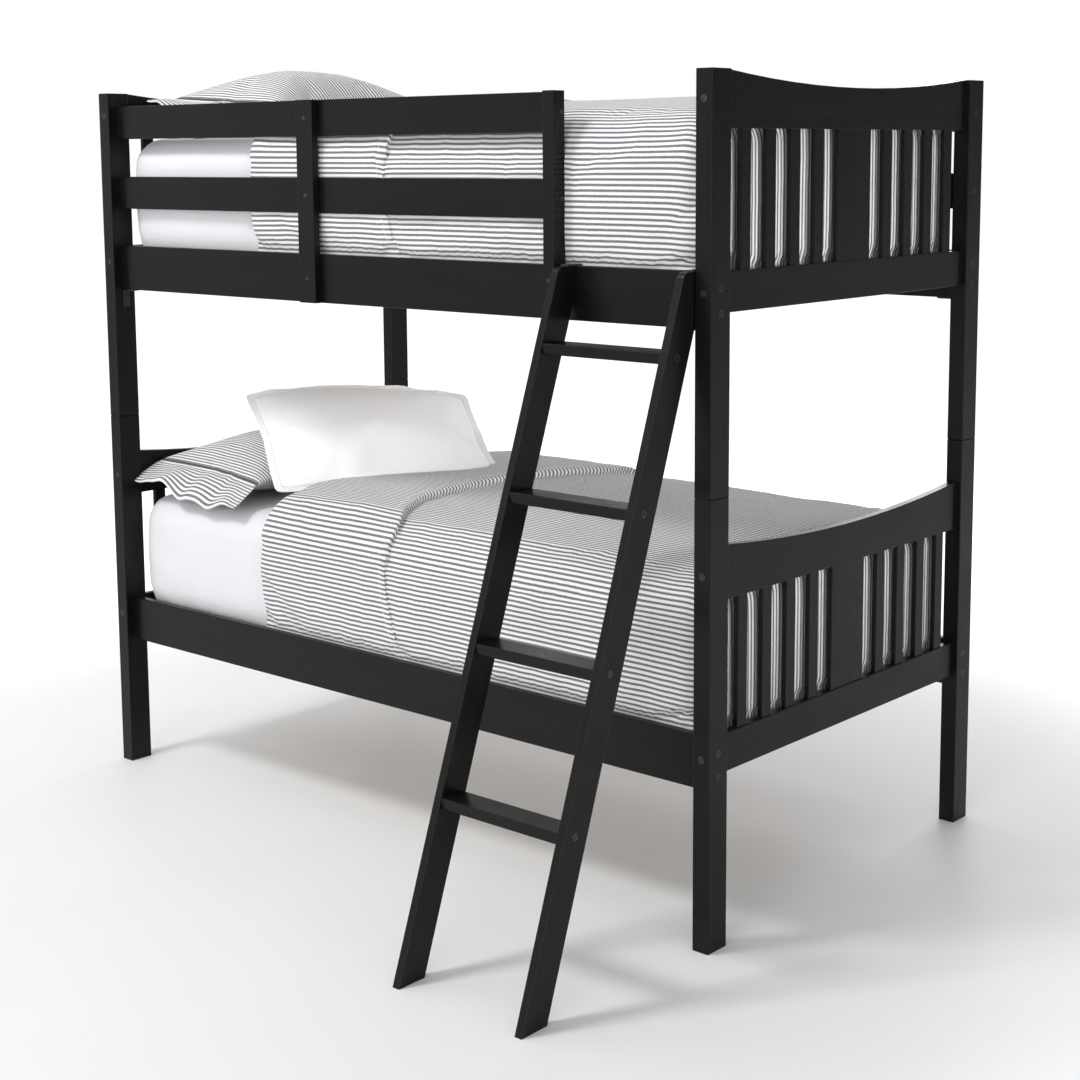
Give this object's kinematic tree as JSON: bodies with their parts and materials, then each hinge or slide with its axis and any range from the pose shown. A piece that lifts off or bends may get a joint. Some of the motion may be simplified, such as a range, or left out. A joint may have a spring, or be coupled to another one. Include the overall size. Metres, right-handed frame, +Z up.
{
  "type": "bunk bed with ladder",
  "caption": "Twin-over-twin painted wood bunk bed with slatted curved end panels, guard rails, a leaning ladder, mattresses, striped comforters and pillows.",
  "frame": {"origin": "at floor level under the centre of the whole footprint, ladder included", "axes": "+X along the bed towards the foot end, -Y towards the ladder side, +Z up"},
  "size_m": [2.008, 1.627, 1.8892],
  "materials": {
    "painted_wood": "satin near-black espresso lacquer",
    "bare_wood": "unfinished pine",
    "black_steel": "black oxide",
    "bright_steel": "zinc plated",
    "white_sheet": "white cotton fitted sheet",
    "white_cotton": "white cotton pillowcase",
    "striped_cotton": "grey ticking stripe on white cotton"
  },
  "bodies": {
    "lower_bunk": {"lower_posts": "painted_wood", "lower_panel_top_rails": "painted_wood", "lower_panel_bottom_rails": "painted_wood", "lower_panel_slats": "painted_wood", "lower_panel_centre_boards": "painted_wood", "lower_side_rails": "painted_wood", "lower_ledgers": "bare_wood", "lower_mattress_slats": "bare_wood", "lower_slat_screws": "bright_steel", "lower_panel_bolts": "black_steel", "lower_rail_bolts": "black_steel", "lower_barrel_nuts": "bright_steel", "lower_mattress": "white_sheet", "lower_comforter": "striped_cotton", "lower_striped_pillow": "striped_cotton", "lower_white_pillow": "white_cotton", "joining_pins": "bright_steel"},
    "upper_bunk": {"upper_posts": "painted_wood", "upper_panel_top_rails": "painted_wood", "upper_panel_bottom_rails": "painted_wood", "upper_panel_slats": "painted_wood", "upper_panel_centre_boards": "painted_wood", "upper_side_rails": "painted_wood", "upper_ledgers": "bare_wood", "upper_mattress_slats": "bare_wood", "upper_slat_screws": "bright_steel", "upper_panel_bolts": "black_steel", "upper_rail_bolts": "black_steel", "upper_barrel_nuts": "bright_steel", "upper_mattress": "white_sheet", "upper_comforter": "striped_cotton", "upper_striped_pillow": "striped_cotton", "front_guard_rails": "painted_wood", "rear_guard_rails": "painted_wood", "front_guard_centre_upright": "painted_wood", "front_guard_end_upright": "painted_wood", "rear_guard_uprights": "painted_wood", "guard_screws": "black_steel", "rail_brackets": "black_steel"},
    "ladder": {"ladder_stiles": "painted_wood", "ladder_rungs": "painted_wood", "ladder_bolts": "black_steel", "ladder_hooks": "black_steel", "ladder_hook_screws": "black_steel"}
  },
  "joints": [
    {"name": "upper_lift", "type": "slide", "parent": "lower_bunk", "child": "upper_bunk", "axis": [0, 0, 1], "range_m": [0, 0.12]},
    {"name": "ladder_lift", "type": "slide", "parent": "upper_bunk", "child": "ladder", "axis": [0, 0, 1], "range_m": [0, 0.05]}
  ]
}
